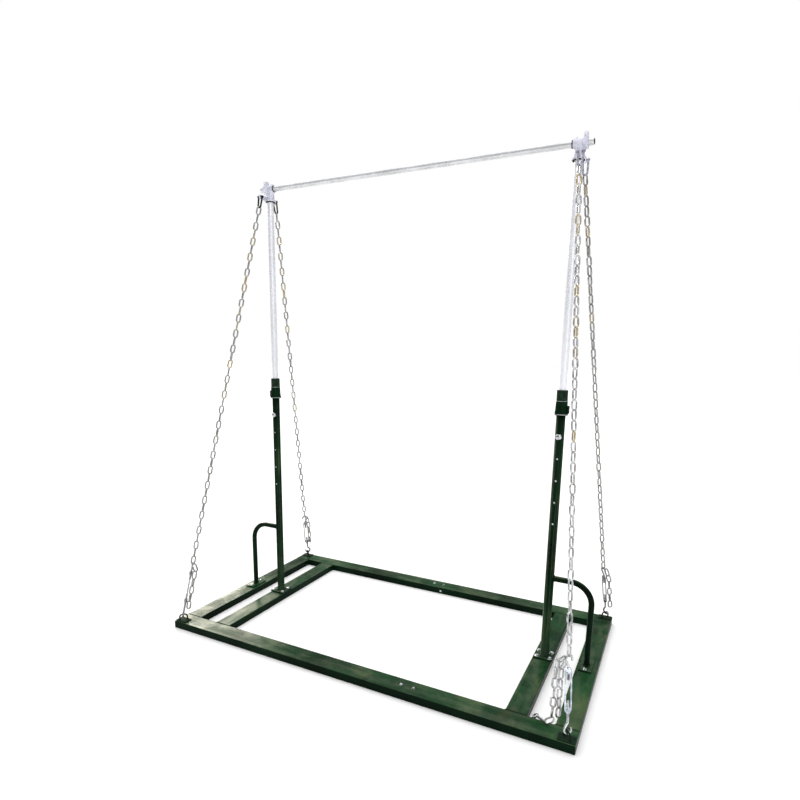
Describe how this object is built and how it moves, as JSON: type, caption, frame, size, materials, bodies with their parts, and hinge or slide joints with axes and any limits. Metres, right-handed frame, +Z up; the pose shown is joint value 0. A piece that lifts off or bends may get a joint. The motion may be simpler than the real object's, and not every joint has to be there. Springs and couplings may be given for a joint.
{
  "type": "horizontal bar",
  "caption": "Free-standing gymnastics horizontal bar on telescoping posts, guyed by chains and turnbuckles to a flat steel base frame.",
  "frame": {"origin": "centre of the base frame's footprint, on the floor", "axes": "+Z up, +X along the bar to the stand's right-hand side, -Y towards the front beam"},
  "size_m": [2.166, 1.226, 2.442],
  "materials": {
    "green_paint": "gloss dark green",
    "zinc_plate": "bright zinc plate",
    "galvanised_tube": "pale galvanised",
    "bar_steel": "polished steel",
    "black_rubber": "matte black",
    "dark_iron": "dark painted iron"
  },
  "bodies": {
    "base": {"beam_front_left": "green_paint", "beam_front_right": "green_paint", "beam_rear_left": "green_paint", "beam_rear_right": "green_paint", "crossbeam_outer_left": "green_paint", "crossbeam_outer_right": "green_paint", "crossbeam_inner_left": "green_paint", "crossbeam_inner_right": "green_paint", "corner_ring_front_left": "dark_iron", "corner_ring_front_right": "dark_iron", "corner_ring_rear_left": "dark_iron", "corner_ring_rear_right": "dark_iron", "post_left": "green_paint", "post_bolt_left_1": "zinc_plate", "post_bolt_left_2": "zinc_plate", "post_bolt_left_3": "zinc_plate", "post_bolt_left_4": "zinc_plate", "brace_left": "green_paint", "collar_left": "green_paint", "collar_cap_left": "black_rubber", "post_right": "green_paint", "post_bolt_right_1": "zinc_plate", "post_bolt_right_2": "zinc_plate", "post_bolt_right_3": "zinc_plate", "post_bolt_right_4": "zinc_plate", "brace_right": "green_paint", "collar_right": "green_paint", "collar_cap_right": "black_rubber", "lower_hook_front_left": "zinc_plate", "upper_hook_front_left": "zinc_plate", "guy_chain_front_left": "zinc_plate", "chain_tail_front_left": "zinc_plate", "lower_hook_front_right": "zinc_plate", "upper_hook_front_right": "zinc_plate", "guy_chain_front_right": "zinc_plate", "chain_tail_front_right": "zinc_plate", "lower_hook_rear_left": "zinc_plate", "upper_hook_rear_left": "zinc_plate", "guy_chain_rear_left": "zinc_plate", "chain_tail_rear_left": "zinc_plate", "lower_hook_rear_right": "zinc_plate", "upper_hook_rear_right": "zinc_plate", "guy_chain_rear_right": "zinc_plate", "chain_tail_rear_right": "zinc_plate"},
    "carriage": {"upper_tube_left": "galvanised_tube", "head_left": "galvanised_tube", "upper_tube_right": "galvanised_tube", "head_right": "galvanised_tube", "high_bar": "bar_steel"},
    "lock_pin_left": {"lock_pin_left": "zinc_plate"},
    "lock_pin_right": {"lock_pin_right": "zinc_plate"},
    "shackle_front_left": {"shackle_front_left": "dark_iron"},
    "shackle_front_right": {"shackle_front_right": "dark_iron"},
    "shackle_rear_left": {"shackle_rear_left": "dark_iron"},
    "shackle_rear_right": {"shackle_rear_right": "dark_iron"},
    "turnbuckle_front_left": {"turnbuckle_front_left": "zinc_plate"},
    "turnbuckle_front_right": {"turnbuckle_front_right": "zinc_plate"},
    "turnbuckle_rear_left": {"turnbuckle_rear_left": "zinc_plate"},
    "turnbuckle_rear_right": {"turnbuckle_rear_right": "zinc_plate"}
  },
  "joints": [
    {"name": "bar_height", "type": "slide", "parent": "base", "child": "carriage", "axis": [0, 0, -1], "range_m": [0, 0.63], "deforming": ["guy_chain_front_left", "guy_chain_front_right", "guy_chain_rear_left", "guy_chain_rear_right"]},
    {"name": "lock_pin_pull_left", "type": "slide", "parent": "base", "child": "lock_pin_left", "axis": [0, -1, 0], "range_m": [0, 0.06]},
    {"name": "lock_pin_pull_right", "type": "slide", "parent": "base", "child": "lock_pin_right", "axis": [0, -1, 0], "range_m": [0, 0.06]},
    {"name": "shackle_swing_front_left", "type": "hinge", "parent": "carriage", "child": "shackle_front_left", "pos_m": [-0.845, -0.06, 2.35], "axis": [1, 0, 0], "range_deg": [-5, 0]},
    {"name": "shackle_swing_front_right", "type": "hinge", "parent": "carriage", "child": "shackle_front_right", "pos_m": [0.845, -0.06, 2.35], "axis": [1, 0, 0], "range_deg": [-5, 0]},
    {"name": "shackle_swing_rear_left", "type": "hinge", "parent": "carriage", "child": "shackle_rear_left", "pos_m": [-0.845, 0.06, 2.35], "axis": [1, 0, 0], "range_deg": [0, 5]},
    {"name": "shackle_swing_rear_right", "type": "hinge", "parent": "carriage", "child": "shackle_rear_right", "pos_m": [0.845, 0.06, 2.35], "axis": [1, 0, 0], "range_deg": [0, 5]},
    {"name": "turnbuckle_turn_front_left", "type": "hinge", "parent": "base", "child": "turnbuckle_front_left", "pos_m": [-1.044, -0.584, 0.0817], "axis": [0.0874, 0.2242, 0.9706], "continuous": true},
    {"name": "turnbuckle_turn_front_right", "type": "hinge", "parent": "base", "child": "turnbuckle_front_right", "pos_m": [1.044, -0.584, 0.0817], "axis": [-0.0874, 0.2242, 0.9706], "continuous": true},
    {"name": "turnbuckle_turn_rear_left", "type": "hinge", "parent": "base", "child": "turnbuckle_rear_left", "pos_m": [-1.044, 0.584, 0.0817], "axis": [0.0874, -0.2242, 0.9706], "continuous": true},
    {"name": "turnbuckle_turn_rear_right", "type": "hinge", "parent": "base", "child": "turnbuckle_rear_right", "pos_m": [1.044, 0.584, 0.0817], "axis": [-0.0874, -0.2242, 0.9706], "continuous": true}
  ],
  "couplings": [
    {"joint": "shackle_swing_front_left", "follows": "bar_height", "rad_per_m": -0.131},
    {"joint": "shackle_swing_front_right", "follows": "bar_height", "rad_per_m": -0.131},
    {"joint": "shackle_swing_rear_left", "follows": "bar_height", "rad_per_m": 0.131},
    {"joint": "shackle_swing_rear_right", "follows": "bar_height", "rad_per_m": 0.131}
  ]
}
